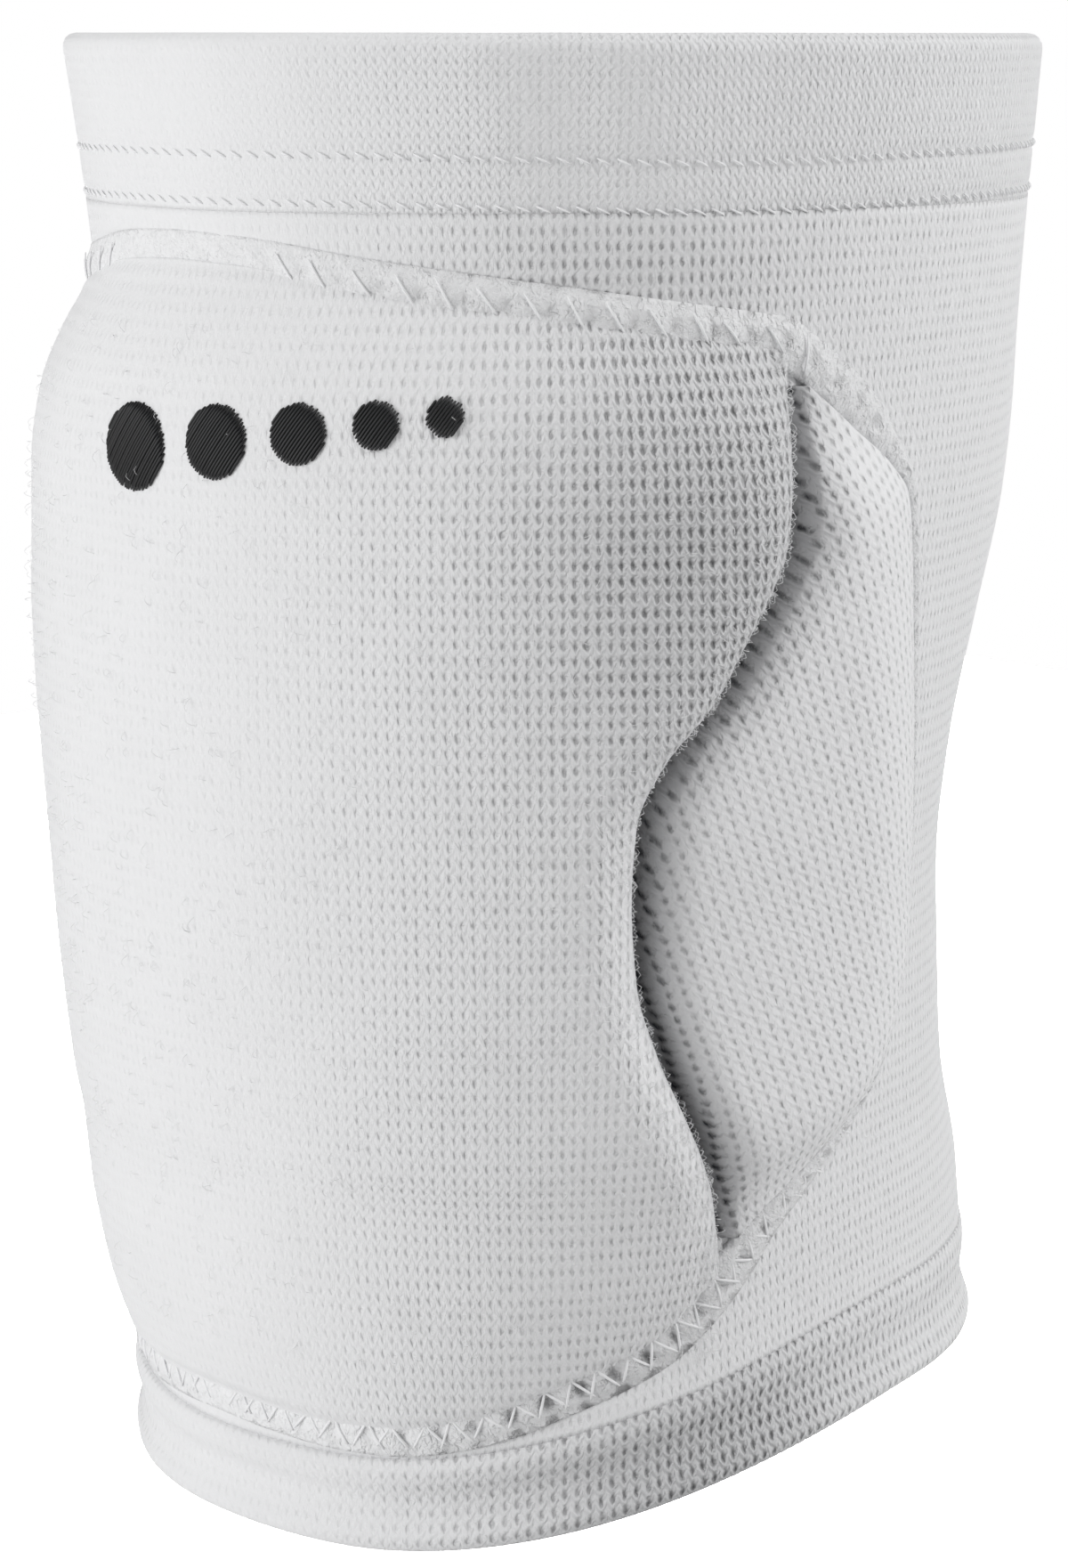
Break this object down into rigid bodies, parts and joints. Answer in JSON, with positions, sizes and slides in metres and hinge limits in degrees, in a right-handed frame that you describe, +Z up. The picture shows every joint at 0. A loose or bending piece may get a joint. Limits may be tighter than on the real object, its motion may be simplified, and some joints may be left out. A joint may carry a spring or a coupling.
{
  "type": "volleyball knee pad",
  "caption": "Knitted knee sleeve with a thick shaped pad over the kneecap, a D-shaped wing pad down each flank and a folded hem at each end, shown as worn.",
  "frame": {"origin": "centre of the knee, on the leg's axis, at the height where the kneecap pad is narrowest", "axes": "+Z up the leg towards the thigh, -Y out of the front of the knee, +X towards the wearer's left"},
  "size_m": [0.134, 0.1454, 0.1995],
  "materials": {
    "knit": "matte",
    "pad_cover": "matte",
    "stitching": "matte",
    "embroidery": "satin"
  },
  "bodies": {
    "root": {"sleeve": "knit", "upper_hem": "knit", "lower_hem": "knit", "kneecap_pad": "pad_cover", "wing_pad_left": "pad_cover", "wing_pad_right": "pad_cover", "cover_band": "stitching"}
  },
  "joints": []
}
